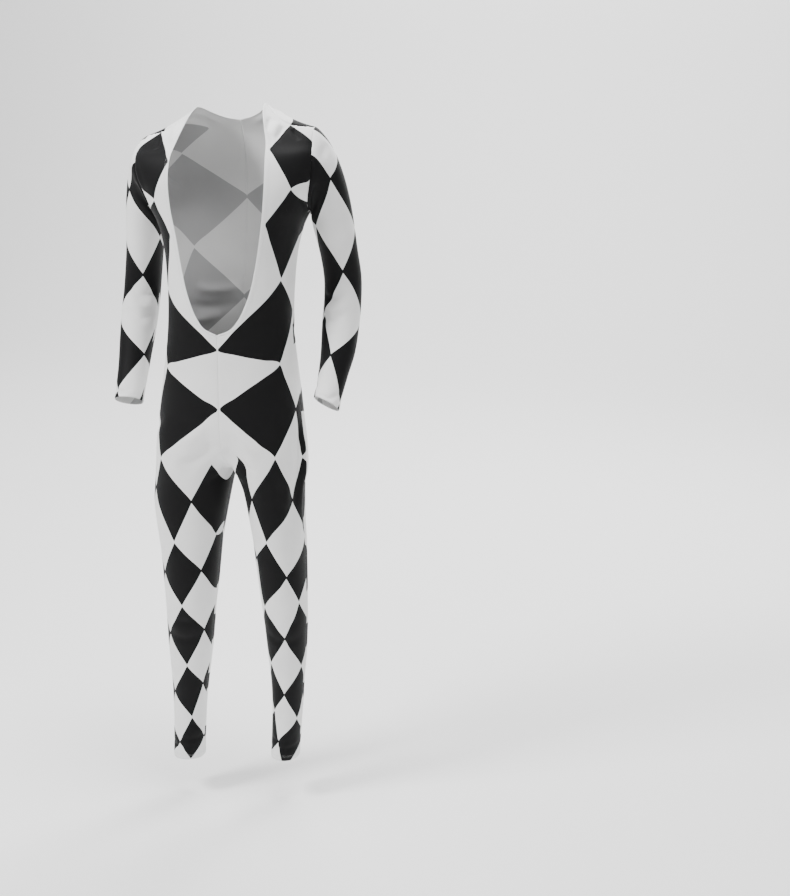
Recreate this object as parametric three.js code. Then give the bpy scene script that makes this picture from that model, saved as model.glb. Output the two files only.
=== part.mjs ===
// A harlequin unitard: a long-sleeved, full-length stretch costume with a deep plunging front, worn and
// filled out, with no wearer inside. It is cut as two fronts, two backs and two sleeves. Each front and
// back runs in one piece from the shoulder seam to the ankle hem, and closes along a centre seam, a crotch
// curve, an inseam and a side seam.
// Millimetres. +Z is up, the front faces -Y and the wearer's left is +X. The origin is the middle of the
// line between the two side-neck points, where the costume hangs on the shoulders.
import * as THREE from "three";

// Cloth and seams
const CLOTH = 1.5;
const SEAM_GAP = 0.36;
const ACROSS = 10;

// Landmark heights
const ARCH_FOOT = -100;
const UNDERARM = -204;
const NECKLINE_END = -461;
const CLEFT_TOP = -640;
const CROTCH = -758;
const HEM = -1438;
const HEMS = { right: HEM, left: -1428 };

// Neckline: half width at the side neck, and how far the nape sits below the side neck
const SIDE_NECK = 72;
const NAPE_DROP = 28;

// The shoulder falls away from the side neck, less steeply towards its tip. Its seam starts on the crest,
// bows forward by an angle at its middle and comes back near the crest at the tip. The costume sits low on
// the wearer's right.
const SHOULDER_FALL = 0.7;
const SHOULDER_BOW = 0.215;
const SEAM_FORWARD = 0.54;
const SEAM_SWING = 2.86;
const SHOULDER_TIP = 179;
const SHOULDER_DRIFT = -4;
const SHOULDER_TILT = 0.075;
const SHOULDER_REACH = -260;

// How far the shoulder's cloth swells outwards between its tip and a height, most halfway
const SWELL = { right: 9, left: 0 };
const SWELL_FOOT = -170;

// The crotch sits off the middle because the hips lean. The cleft above it opens softly, and its rounding
// sets in over the first share of the way.
const CROTCH_SHIFT = 8;
const CLEFT_POWER = 1.6;
const CLEFT_ROUND = 22;
const CLEFT_ONSET = 0.25;

// Half width of the front opening
const NECKLINE = [
  { height: 0, half: SIDE_NECK },
  { height: -28, half: 85 },
  { height: -60, half: 95 },
  { height: -100, half: 100 },
  { height: -150, half: 101 },
  { height: -205, half: 97 },
  { height: -265, half: 88 },
  { height: -320, half: 79 },
  { height: -367, half: 69 },
  { height: -405, half: 56 },
  { height: -432, half: 42 },
  { height: -450, half: 26 },
  { height: NECKLINE_END, half: 0 },
];

// Body sections: half width, depths in front of and behind the middle, the middle's Y, and squareness
const BODY = [
  { height: 0, outer: 196, front: 74, back: 74, middle: 12, square: 2.6 },
  { height: -60, outer: 196, front: 86, back: 85, middle: 12, square: 2.6 },
  { height: -110, outer: 197, front: 108, back: 97, middle: 9, square: 2.6 },
  { height: -155, outer: 190, front: 114, back: 106, middle: 4, square: 2.55 },
  { height: UNDERARM, outer: 170, front: 109, back: 113, middle: -3, square: 2.5 },
  { height: -240, outer: 152, front: 108, back: 110, middle: -3, square: 2.45 },
  { height: -295, outer: 139, front: 106, back: 101, middle: -1, square: 2.4 },
  { height: -360, outer: 134, front: 103, back: 91, middle: 0, square: 2.35 },
  { height: -420, outer: 133, front: 101, back: 87, middle: 0, square: 2.3 },
  { height: -480, outer: 136, front: 99, back: 91, middle: 0, square: 2.3 },
  { height: -540, outer: 143, front: 99, back: 101, middle: 0, square: 2.3 },
  { height: -600, outer: 151, front: 100, back: 111, middle: 0, square: 2.3 },
  { height: -660, outer: 158, front: 100, back: 118, middle: 0, square: 2.25 },
  { height: -715, outer: 163, front: 96, back: 117, middle: 0, square: 2.2 },
  { height: CROTCH, outer: 165, front: 91, back: 108, middle: 0, square: 2.12 },
];

// Leg sections below the crotch: inner and outer edges, the middle's Y, and depths in front and behind. Both
// first rows share their height, middle and depths, so the two sides meet all along the crotch curve.
const LEGS = {
  right: [
    { height: -792, inner: 0, outer: 168, middle: 0, front: 86, back: 99 },
    { height: -845, inner: 9, outer: 170, middle: -3, front: 80, back: 88 },
    { height: -890, inner: 16, outer: 165, middle: -5, front: 76, back: 79 },
    { height: -935, inner: 22, outer: 157, middle: -8, front: 71, back: 73 },
    { height: -980, inner: 25, outer: 151, middle: -11, front: 66, back: 67 },
    { height: -1025, inner: 28, outer: 147, middle: -14, front: 61, back: 61 },
    { height: -1072, inner: 33, outer: 143, middle: -16, front: 56, back: 57 },
    { height: -1119, inner: 37, outer: 141, middle: -15, front: 52, back: 55 },
    { height: -1168, inner: 42, outer: 140, middle: -12, front: 47, back: 57 },
    { height: -1216, inner: 48, outer: 137, middle: -10, front: 43, back: 55 },
    { height: -1265, inner: 54, outer: 133, middle: -9, front: 40, back: 49 },
    { height: -1313, inner: 58, outer: 131, middle: -9, front: 38, back: 43 },
    { height: -1362, inner: 60, outer: 130, middle: -10, front: 37, back: 40 },
    { height: HEMS.right, inner: 61, outer: 130, middle: -12, front: 39, back: 39 },
  ],
  left: [
    { height: -792, inner: 28, outer: 160, middle: 0, front: 86, back: 99 },
    { height: -830, inner: 38, outer: 160, middle: 1, front: 82, back: 90 },
    { height: -874, inner: 46, outer: 162, middle: 1, front: 77, back: 82 },
    { height: -918, inner: 54, outer: 166, middle: 0, front: 72, back: 75 },
    { height: -963, inner: 60, outer: 169, middle: -2, front: 66, back: 68 },
    { height: -1008, inner: 66, outer: 171, middle: -3, front: 60, back: 62 },
    { height: -1053, inner: 72, outer: 172, middle: -3, front: 56, back: 57 },
    { height: -1100, inner: 78, outer: 172, middle: 0, front: 52, back: 55 },
    { height: -1148, inner: 82, outer: 170, middle: 5, front: 47, back: 57 },
    { height: -1196, inner: 86, outer: 167, middle: 9, front: 43, back: 56 },
    { height: -1245, inner: 91, outer: 163, middle: 12, front: 40, back: 50 },
    { height: -1293, inner: 93, outer: 161, middle: 14, front: 38, back: 44 },
    { height: -1342, inner: 93, outer: 158, middle: 15, front: 37, back: 40 },
    { height: HEMS.left, inner: 91, outer: 153, middle: 16, front: 39, back: 39 },
  ],
};
const LEG_SQUARE = 2.08;

// Armhole: how far from the middle it crosses each height, the same in front and behind
const ARMHOLE = [
  { height: 0, out: SHOULDER_TIP },
  { height: -40, out: 181 },
  { height: -80, out: 183 },
  { height: -120, out: 184 },
  { height: -150, out: 181 },
  { height: -180, out: 175 },
  { height: UNDERARM, out: 169.5 },
];

// Arm sections from the biceps to the cuff, the elbow set back and the forearm brought forward
const ARMS = {
  right: [
    { height: -240, out: 206, middle: 46, radius: 42.5 },
    { height: -300, out: 217, middle: 66, radius: 40 },
    { height: -355, out: 226, middle: 79, radius: 39.5 },
    { height: -405, out: 230, middle: 78, radius: 39.5 },
    { height: -450, out: 230, middle: 63, radius: 39.5 },
    { height: -505, out: 228, middle: 37, radius: 36.5 },
    { height: -555, out: 226, middle: 13, radius: 33 },
    { height: -600, out: 225, middle: -10, radius: 31 },
    { height: -627, out: 224, middle: -24, radius: 30.5 },
  ],
  left: [
    { height: -235, out: 207, middle: 46, radius: 42.5 },
    { height: -295, out: 215, middle: 66, radius: 39.5 },
    { height: -350, out: 221, middle: 79, radius: 39.5 },
    { height: -398, out: 222, middle: 78, radius: 39.5 },
    { height: -443, out: 222, middle: 65, radius: 39.5 },
    { height: -498, out: 223, middle: 40, radius: 36.5 },
    { height: -542, out: 219, middle: 20, radius: 31.5 },
    { height: -581, out: 215, middle: 1, radius: 28.8 },
    { height: -607, out: 213, middle: -14, radius: 28.5 },
  ],
};
const CUFF_SLANT = { right: 0, left: 9 };
const ARM_STEP = 5;
const CAP_RINGS = 9;
const ARM_RINGS = 17;

// The sleeve cap's way out of the armhole, as outwards, backwards and upwards, at the underarm and at the
// shoulder. It leans further out in front. Its pull at either end is a share of the distance to cover.
const CAP_UNDERARM = [0.5, 0.3, -0.85];
const CAP_SHOULDER = { right: [0.92, 0.1, -0.4], left: [0.84, 0.1, -0.54] };
const CAP_FULLNESS = 0.3;
const CAP_PULL = {
  leaving: { underarm: 0.75, shoulder: 0.7 },
  arriving: { underarm: 0.8, shoulder: 1.3 },
};

// Rows of a panel: heights at the side, at the front's inner edge and at the back's inner edge, each
// reached in so many steps that are even or crowd at the start ("in") or at the end ("out")
const ROWS = [
  { side: 0, front: 0, back: 0 },
  { side: -84, front: -84, back: -NAPE_DROP, steps: 5, ease: ["in", "in", "out"] },
  { side: UNDERARM, front: -220, back: -200, steps: 5, ease: ["even", "even", "even"] },
  { side: -360, front: -380, back: -365, steps: 5, ease: ["even", "even", "even"] },
  { side: -505, front: NECKLINE_END, back: -520, steps: 6, ease: ["even", "out", "even"] },
  { side: -685, front: -675, back: -685, steps: 6, ease: ["even", "even", "even"] },
  { side: -820, front: CROTCH, back: CROTCH, steps: 6, ease: ["even", "out", "out"] },
  { side: -1080, front: -1080, back: -1080, steps: 7, ease: ["even", "in", "in"] },
  { side: HEM, front: HEM, back: HEM, steps: 8, ease: ["even", "even", "even"] },
];
const UNDERARM_ROW = 10;

const EASE = {
  even: (t) => t,
  in: (t) => 1 - Math.cos((t * Math.PI) / 2),
  out: (t) => Math.sin((t * Math.PI) / 2),
};

// The largest folds: troughs (negative) and ridges between two points on the cloth, in millimetres
const FOLDS = [
  { from: [30, -80, -690], to: [75, -84, -758], width: 18, lift: -3 },
  { from: [-18, -80, -695], to: [-70, -86, -752], width: 18, lift: -3 },
  { from: [150, -40, -690], to: [148, -44, -880], width: 14, lift: -3 },
  { from: [163, -12, -700], to: [158, -16, -870], width: 14, lift: 3 },
  { from: [40, 100, -775], to: [140, 90, -790], width: 20, lift: -4 },
  { from: [-40, 100, -780], to: [-140, 90, -795], width: 20, lift: -4 },
];

const lerp = THREE.MathUtils.lerp;
const clamp = THREE.MathUtils.clamp;

// A smooth curve through one column of a table whose heights run downwards
function column(table, name) {
  const slopeAt = (i) => {
    const a = table[Math.max(i - 1, 0)];
    const b = table[Math.min(i + 1, table.length - 1)];
    return (b[name] - a[name]) / (b.height - a.height);
  };
  return (height) => {
    const h = clamp(height, table[table.length - 1].height, table[0].height);
    let i = 0;
    while (i < table.length - 2 && h < table[i + 1].height) i += 1;
    const span = table[i + 1].height - table[i].height;
    const t = (h - table[i].height) / span;
    const near = (1 + 2 * t) * (1 - t) ** 2 * table[i][name] + t * (1 - t) ** 2 * span * slopeAt(i);
    const far = t * t * (3 - 2 * t) * table[i + 1][name] + t * t * (t - 1) * span * slopeAt(i + 1);
    return near + far;
  };
}

// Every column of a table as its own smooth curve
function curves(table) {
  const names = Object.keys(table[0]).filter((name) => name !== "height");
  return Object.fromEntries(names.map((name) => [name, column(table, name)]));
}

const armhole = column(ARMHOLE, "out");
const neckline = column(NECKLINE, "half");

// The centre plane's X at a height: it drifts to the crotch point
const centreX = (height) =>
  CROTCH_SHIFT * clamp((NECKLINE_END - height) / (NECKLINE_END - CROTCH), 0, 1);

// How far the body has parted into legs at a height, from 0 at the cleft's top to 1 at the crotch
const parted = (height) => clamp((CLEFT_TOP - height) / (CLEFT_TOP - CROTCH), 0, 1) ** CLEFT_POWER;

// The swell of one side's shoulder at a height
const swell = (side, height) => SWELL[side] * Math.sin(Math.PI * clamp(height / SWELL_FOOT, 0, 1));

// One side's half section at a height: its middle, half width, depths and squareness, in that side's own X
function makeSection(side) {
  const sign = side === "left" ? 1 : -1;
  const legs = LEGS[side].map((row) => ({ ...row, square: LEG_SQUARE }));
  const outline = curves([...BODY, ...legs].map(({ inner, ...row }) => row));
  const inner = column([{ height: CROTCH, inner: sign * CROTCH_SHIFT }, ...legs], "inner");
  return (height) => {
    const seam = height > CROTCH ? sign * centreX(height) : inner(height);
    const share = height > CROTCH ? parted(height) : 1;
    const half = (outline.outer(height) + swell(side, height) - seam) / (1 + share);
    return {
      seam,
      armhole: armhole(height) + swell(side, height),
      out: seam + share * half,
      half,
      front: outline.front(height),
      back: outline.back(height),
      middle: outline.middle(height),
      square: outline.square(height),
      round: CLEFT_ROUND * (1 - share ** 3) * Math.min(1, share / CLEFT_ONSET),
    };
  };
}

// The front neckline's X at a height, then the centre plane below the opening
const frontEdge = (height, seam) => (height <= NECKLINE_END ? seam : Math.max(seam, neckline(height)));

// The back neckline's X at a height, then the centre plane below the nape
function backEdge(height, seam) {
  return height <= -NAPE_DROP ? seam : SIDE_NECK * Math.sqrt(1 + height / NAPE_DROP);
}

// Angle on a superellipse whose X is a given share of its half width
const angleAt = (share, square) => {
  const x = clamp(share, -1, 1);
  return Math.acos(Math.sign(x) * Math.abs(x) ** (square / 2));
};

// A point of the body's cloth: `across` runs from the inner edge (0) to the side or armhole (1)
function bodyPoint(section, face, across, height) {
  const s = section(height);
  const inner = face === "front" ? frontEdge(height, s.seam) : backEdge(height, s.seam);
  const outer = height > UNDERARM ? s.armhole : s.out + s.half;
  const start = angleAt((inner - s.out) / s.half, s.square);
  const end = angleAt((outer - s.out) / s.half, s.square);
  const angle = lerp(start, end, across);
  const x = s.out + s.half * Math.sign(Math.cos(angle)) * Math.abs(Math.cos(angle)) ** (2 / s.square);
  // The cloth bridges the cleft in a soft hollow, not a sharp crease
  const reach = s.out + s.half - s.seam;
  const gone = x - s.seam;
  const soft = Math.hypot(gone, s.round) - s.round;
  const fullSoft = Math.hypot(reach, s.round) - s.round;
  const share = (s.seam + (soft * reach) / fullSoft - s.out) / s.half;
  const depth = Math.max(0, 1 - Math.abs(clamp(share, -1, 1)) ** s.square) ** (1 / s.square);
  // Above the arch's foot the section leans over the shoulder's crest, and the seam lies forward of it
  const level = height > ARCH_FOOT ? Math.acos(1 - height / ARCH_FOOT) / (Math.PI / 2) : 1;
  const outward = clamp((x - SIDE_NECK) / (SHOULDER_TIP - SIDE_NECK), 0, 1);
  const seamAngle = SEAM_FORWARD * Math.sin(SEAM_SWING * outward);
  const foot = face === "front" ? -Math.PI / 2 : Math.PI / 2;
  const lean = height > ARCH_FOOT ? lerp(-seamAngle, foot, level) : foot;
  const crest = -Math.max(0, x - SIDE_NECK) * (SHOULDER_FALL - SHOULDER_BOW * outward);
  const z = height > ARCH_FOOT ? lerp(ARCH_FOOT, crest, Math.cos(lean)) : height;
  const y = s.middle + (lean < 0 ? s.front : s.back) * Math.sin(lean) * depth;
  return new THREE.Vector3(x, y, z);
}

// The heights of every row, at the side and at each inner edge
function rowHeights() {
  const rows = [ROWS[0]];
  for (let i = 1; i < ROWS.length; i += 1) {
    const { steps, ease } = ROWS[i];
    for (let k = 1; k <= steps; k += 1) {
      const at = (name, e) => lerp(ROWS[i - 1][name], ROWS[i][name], EASE[ease[e]](k / steps));
      rows.push({ side: at("side", 0), front: at("front", 1), back: at("back", 2) });
    }
  }
  return rows;
}
const rows = rowHeights();

// A front or back as a grid of points, row by row from the shoulder seam to the hem
function panelGrid(side, face) {
  const section = makeSection(side);
  const sign = side === "left" ? 1 : -1;
  return rows.map((row) =>
    Array.from({ length: ACROSS + 1 }, (_, j) => {
      const across = j / ACROSS;
      const ease = across * across * (3 - 2 * across);
      let height = lerp(row[face], row.side, ease);
      if (height < CROTCH) height = lerp(CROTCH, HEMS[side], (CROTCH - height) / (CROTCH - HEM));
      const point = bodyPoint(section, face, across, height);
      point.x *= sign;
      const fade = Math.max(0, 1 - height / SHOULDER_REACH);
      point.z += SHOULDER_TILT * fade * point.x;
      point.x += SHOULDER_DRIFT * fade;
      return point;
    }),
  );
}

// A ring of the arm at a height, in that side's own X, turned square to the arm's line
function armRing(arm, height, angle, slant) {
  const at = (h) => new THREE.Vector3(arm.out(h), arm.middle(h), h);
  const low = Math.max(height - ARM_STEP, arm.cuff);
  const high = Math.min(height + ARM_STEP, arm.biceps);
  const along = at(low).sub(at(high)).normalize();
  const outward = new THREE.Vector3(1, 0, 0).addScaledVector(along, -along.x).normalize();
  const forward = new THREE.Vector3().crossVectors(along, outward).normalize();
  return at(height)
    .addScaledVector(outward, arm.radius(height) * Math.cos(angle))
    .addScaledVector(forward, arm.radius(height) * Math.sin(angle))
    .addScaledVector(along, slant * Math.cos(angle));
}

// A sleeve as rings of points from the armhole to the cuff. A ring starts at the shoulder seam and runs
// down the front to the underarm and up the back.
function sleeveGrid(side, frontPanel, backPanel, sign) {
  const table = ARMS[side];
  const arm = { ...curves(table), biceps: table[0].height, cuff: table[table.length - 1].height };
  const edge = (panel) => panel.slice(0, UNDERARM_ROW + 1).map((row) => row[ACROSS].clone());
  const loop = [...edge(frontPanel), ...edge(backPanel).slice(1, -1).reverse()];
  loop.forEach((point) => (point.x *= sign));
  const angles = loop.map((_, j) => (j / loop.length) * 2 * Math.PI);
  const rings = [loop];
  // The cap leaves the armhole outwards over the shoulder and downwards at the underarm
  for (let k = 1; k <= CAP_RINGS; k += 1) {
    const t = k / CAP_RINGS;
    rings.push(
      loop.map((start, j) => {
        const end = armRing(arm, arm.biceps, angles[j], 0);
        const below = armRing(arm, arm.biceps - 2 * ARM_STEP, angles[j], 0);
        const upper = (1 + Math.cos(angles[j])) / 2;
        const pull = ({ underarm, shoulder }) => lerp(underarm, shoulder, upper) * start.distanceTo(end);
        const leave = new THREE.Vector3(...CAP_UNDERARM);
        leave.lerp(new THREE.Vector3(...CAP_SHOULDER[side]), upper);
        leave.x += CAP_FULLNESS * upper * Math.sin(angles[j]);
        leave.normalize().multiplyScalar(pull(CAP_PULL.leaving));
        const arrive = below.sub(end).normalize().multiplyScalar(pull(CAP_PULL.arriving));
        return start
          .clone()
          .multiplyScalar((1 + 2 * t) * (1 - t) ** 2)
          .addScaledVector(leave, t * (1 - t) ** 2)
          .addScaledVector(end, t * t * (3 - 2 * t))
          .addScaledVector(arrive, t * t * (t - 1));
      }),
    );
  }
  for (let k = 1; k <= ARM_RINGS; k += 1) {
    const t = k / ARM_RINGS;
    const height = lerp(arm.biceps, arm.cuff, t);
    rings.push(angles.map((angle) => armRing(arm, height, angle, CUFF_SLANT[side] * t ** 4)));
  }
  rings.forEach((ring) => ring.forEach((point) => (point.x *= sign)));
  return rings;
}

// Outward unit normals of a grid, from its neighbours in the row and along the rows
function gridNormals(grid, closed, flip) {
  const width = grid[0].length;
  return grid.map((row, i) =>
    row.map((_, j) => {
      const left = closed ? row[(j + width - 1) % width] : row[Math.max(j - 1, 0)];
      const right = closed ? row[(j + 1) % width] : row[Math.min(j + 1, width - 1)];
      const above = grid[Math.max(i - 1, 0)][j];
      const below = grid[Math.min(i + 1, grid.length - 1)][j];
      const across = new THREE.Vector3().subVectors(right, left);
      const down = new THREE.Vector3().subVectors(below, above);
      return new THREE.Vector3().crossVectors(across, down).normalize().multiplyScalar(flip);
    }),
  );
}

// Points this close together are one point of a seam
const MEETING = 0.02;
const key = (p) => [p.x, p.y, p.z].map((v) => Math.round(v / MEETING)).join(",");

// Where pieces meet, they share one mean normal, and each draws back half a seam gap from the other
function joinSeams(pieces) {
  const shared = new Map();
  for (const piece of pieces) {
    piece.grid.forEach((row, i) =>
      row.forEach((point, j) => {
        if (!piece.onEdge(i, j)) return;
        const entry = shared.get(key(point)) ?? { sum: new THREE.Vector3(), names: new Set() };
        entry.sum.add(piece.normals[i][j]);
        entry.names.add(piece.name);
        shared.set(key(point), entry);
      }),
    );
  }
  for (const piece of pieces) {
    const moved = piece.grid.map((row) => row.map((point) => point.clone()));
    piece.grid.forEach((row, i) =>
      row.forEach((point, j) => {
        if (!piece.onEdge(i, j)) return;
        const entry = shared.get(key(point));
        if (entry.names.size < 2) return;
        const normal = entry.sum.clone().normalize();
        piece.normals[i][j] = normal;
        for (const [di, dj] of piece.inward(i, j)) {
          const inner = piece.grid[i + di][(j + dj + row.length) % row.length];
          const away = new THREE.Vector3().subVectors(inner, point);
          away.addScaledVector(normal, -away.dot(normal)).normalize();
          moved[i][j].addScaledVector(away, SEAM_GAP / 2);
        }
      }),
    );
    piece.grid = moved;
  }
}

// Lifts or sinks the cloth along its normal beside each fold's line
function foldCloth(piece) {
  const nearest = new THREE.Vector3();
  piece.grid.forEach((row, i) =>
    row.forEach((point, j) => {
      if (piece.onEdge(i, j)) return;
      let lift = 0;
      for (const fold of FOLDS) {
        const line = new THREE.Line3(new THREE.Vector3(...fold.from), new THREE.Vector3(...fold.to));
        line.closestPointToPoint(point, true, nearest);
        lift += fold.lift * Math.exp(-((point.distanceTo(nearest) / fold.width) ** 2));
      }
      point.addScaledVector(piece.normals[i][j], lift);
    }),
  );
}

// A closed solid: the grid's outer and inner skins, half the cloth to each side, and a rim all round
function clothGeometry(piece) {
  const { grid, normals, closed } = piece;
  const width = grid[0].length;
  const height = grid.length;
  const positions = [];
  for (const away of [CLOTH / 2, -CLOTH / 2]) {
    grid.forEach((row, i) =>
      row.forEach((point, j) => {
        positions.push(...point.clone().addScaledVector(normals[i][j], away).toArray());
      }),
    );
  }
  const layer = width * height;
  const at = (i, j, skin) => skin * layer + i * width + (j % width);
  const index = [];
  const quad = (a, b, c, d) => index.push(a, b, c, a, c, d);
  const corner = (k) => new THREE.Vector3().fromArray(positions, 3 * (k % layer));
  // Each cell splits along its shorter diagonal, the same one on both skins
  const cell = (a, b, c, d) => {
    const ac = corner(a).distanceToSquared(corner(c));
    const bd = corner(b).distanceToSquared(corner(d));
    if (ac <= bd) quad(a, b, c, d);
    else quad(b, c, d, a);
  };
  const cells = closed ? width : width - 1;
  for (let i = 0; i < height - 1; i += 1) {
    for (let j = 0; j < cells; j += 1) {
      cell(at(i, j, 0), at(i, j + 1, 0), at(i + 1, j + 1, 0), at(i + 1, j, 0));
      cell(at(i, j, 1), at(i + 1, j, 1), at(i + 1, j + 1, 1), at(i, j + 1, 1));
    }
  }
  for (let j = 0; j < cells; j += 1) {
    quad(at(0, j, 0), at(0, j, 1), at(0, j + 1, 1), at(0, j + 1, 0));
    quad(at(height - 1, j, 0), at(height - 1, j + 1, 0), at(height - 1, j + 1, 1), at(height - 1, j, 1));
  }
  if (!closed) {
    for (let i = 0; i < height - 1; i += 1) {
      quad(at(i, 0, 0), at(i + 1, 0, 0), at(i + 1, 0, 1), at(i, 0, 1));
      quad(at(i, width - 1, 0), at(i, width - 1, 1), at(i + 1, width - 1, 1), at(i + 1, width - 1, 0));
    }
  }
  if (piece.flip < 0) {
    for (let k = 0; k < index.length; k += 3) [index[k + 1], index[k + 2]] = [index[k + 2], index[k + 1]];
  }
  const geometry = new THREE.BufferGeometry();
  geometry.setAttribute("position", new THREE.Float32BufferAttribute(positions, 3));
  geometry.setIndex(index);
  geometry.computeVertexNormals();
  return geometry;
}

// A grid with the rules for its edges: which points lie on one, and which way its inside is
function makePiece(name, grid, closed, flip) {
  const last = grid.length - 1;
  const side = grid[0].length - 1;
  const onEdge = (i, j) => i === 0 || i === last || (!closed && (j === 0 || j === side));
  const inward = (i, j) => {
    const ways = [];
    if (i === 0) ways.push([1, 0]);
    if (!closed && j === 0) ways.push([0, 1]);
    if (!closed && j === side) ways.push([0, -1]);
    return ways;
  };
  return { name, grid, closed, flip, onEdge, inward, normals: gridNormals(grid, closed, flip) };
}

const cloth = new THREE.MeshStandardMaterial({ color: 0xe6e6e4, roughness: 0.62, metalness: 0 });

// Facing out needs one turn of the grid on the left front and its opposite on each mirrored piece
const pieces = [];
for (const [side, sign] of [["left", 1], ["right", -1]]) {
  const front = panelGrid(side, "front");
  const back = panelGrid(side, "back");
  pieces.push(makePiece("front_" + side, front, false, -sign));
  pieces.push(makePiece("back_" + side, back, false, sign));
  pieces.push(makePiece("sleeve_" + side, sleeveGrid(side, front, back, sign), true, sign));
}
joinSeams(pieces);
pieces.forEach(foldCloth);

const unitard = new THREE.Group();
for (const piece of pieces) {
  const mesh = new THREE.Mesh(clothGeometry(piece), cloth.clone());
  mesh.name = piece.name;
  unitard.add(mesh);
}

export default unitard;
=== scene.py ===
import math
import bmesh
import bpy
import numpy as np
from mathutils import Matrix, Vector


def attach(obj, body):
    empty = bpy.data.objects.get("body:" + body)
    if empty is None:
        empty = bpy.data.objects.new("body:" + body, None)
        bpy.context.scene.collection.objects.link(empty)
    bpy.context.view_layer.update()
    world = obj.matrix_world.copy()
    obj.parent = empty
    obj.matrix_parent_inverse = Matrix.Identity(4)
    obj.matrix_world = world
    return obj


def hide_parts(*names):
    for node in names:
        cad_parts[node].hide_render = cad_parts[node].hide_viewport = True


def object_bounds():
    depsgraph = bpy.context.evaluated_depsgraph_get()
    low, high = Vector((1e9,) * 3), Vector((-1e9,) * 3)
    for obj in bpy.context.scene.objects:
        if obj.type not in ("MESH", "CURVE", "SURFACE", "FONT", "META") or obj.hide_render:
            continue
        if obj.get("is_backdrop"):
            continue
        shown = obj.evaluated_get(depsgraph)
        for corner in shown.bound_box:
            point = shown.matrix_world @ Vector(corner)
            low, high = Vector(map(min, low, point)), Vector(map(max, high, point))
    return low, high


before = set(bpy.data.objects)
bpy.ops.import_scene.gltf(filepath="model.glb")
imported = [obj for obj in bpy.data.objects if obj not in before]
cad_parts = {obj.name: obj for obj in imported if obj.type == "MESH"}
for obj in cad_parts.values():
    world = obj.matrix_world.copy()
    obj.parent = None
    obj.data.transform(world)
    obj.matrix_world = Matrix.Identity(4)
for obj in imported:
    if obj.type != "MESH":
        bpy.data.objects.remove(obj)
solid_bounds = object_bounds()

# A harlequin unitard: a stretch costume with long sleeves, legs to the ankles and a deep plunging front. It
# keeps the form that it has when worn. The cloth is worked out in millimetres, and the rest is in metres.

# Camera
# It stands a few steps in front, towards the costume's left, at neck height, and looks a little down.
CAMERA_AWAY, CAMERA_HEIGHT, CAMERA_LENS = 3.1, 0.020, 58.9
CAMERA_ROUND, CAMERA_TURN, CAMERA_DOWN, CAMERA_ROLL = map(math.radians, (18, 11.47, 13.37, 1.5))
eye = bpy.data.cameras.new("camera")
eye.lens = CAMERA_LENS
camera = bpy.data.objects.new("camera", eye)
camera.location = (
    CAMERA_AWAY * math.sin(CAMERA_ROUND), -CAMERA_AWAY * math.cos(CAMERA_ROUND), CAMERA_HEIGHT)
turned = Matrix.Rotation(CAMERA_TURN, 3, "Z") @ Matrix.Rotation(math.pi / 2 - CAMERA_DOWN, 3, "X")
camera.rotation_euler = (turned @ Matrix.Rotation(CAMERA_ROLL, 3, "Z")).to_euler()
bpy.context.scene.collection.objects.link(camera)
bpy.context.scene.camera = camera

# Floor and backdrop
# One pale sheet of paper lies on the floor below the ankle hems and sweeps up behind.
FLOOR_HEIGHT, FLOOR_HALF, FLOOR_BACK = -1.53, 16.0, 7.0
SWEEP_RADIUS, SWEEP_STEPS, BACK_HEIGHT = 2.0, 24, 6.0
PAPER_COLOUR = (0.93, 0.93, 0.93, 1)
sheet = bmesh.new()
front_end = sheet.verts.new((-FLOOR_HALF, -FLOOR_HALF, FLOOR_HEIGHT))
sweep_start = sheet.verts.new((-FLOOR_HALF, FLOOR_BACK - SWEEP_RADIUS, FLOOR_HEIGHT))
sheet.edges.new((front_end, sweep_start))
swept = bmesh.ops.spin(
    sheet, geom=[sweep_start], cent=(0, FLOOR_BACK - SWEEP_RADIUS, FLOOR_HEIGHT + SWEEP_RADIUS),
    axis=(1, 0, 0), angle=math.pi / 2, steps=SWEEP_STEPS)
top = [v for v in swept["geom_last"] if isinstance(v, bmesh.types.BMVert)]
risen = bmesh.ops.extrude_vert_indiv(sheet, verts=top)
bmesh.ops.translate(sheet, verts=risen["verts"], vec=(0, 0, BACK_HEIGHT))
wide = bmesh.ops.extrude_edge_only(sheet, edges=sheet.edges[:])
far_side = [v for v in wide["geom"] if isinstance(v, bmesh.types.BMVert)]
bmesh.ops.translate(sheet, verts=far_side, vec=(2 * FLOOR_HALF, 0, 0))
bmesh.ops.recalc_face_normals(sheet, faces=sheet.faces[:])
paper = bpy.data.meshes.new("paper_sweep")
sheet.to_mesh(paper)
sheet.free()
paper.shade_smooth()
backdrop = bpy.data.objects.new("paper_sweep", paper)
bpy.context.scene.collection.objects.link(backdrop)
backdrop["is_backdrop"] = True
pale = bpy.data.materials.new("pale_paper")
pale.use_nodes = True
paper_surface = pale.node_tree.nodes["Principled BSDF"]
paper_surface.inputs["Base Color"].default_value = PAPER_COLOUR
paper_surface.inputs["Roughness"].default_value = 0.9
paper.materials.append(pale)

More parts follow.
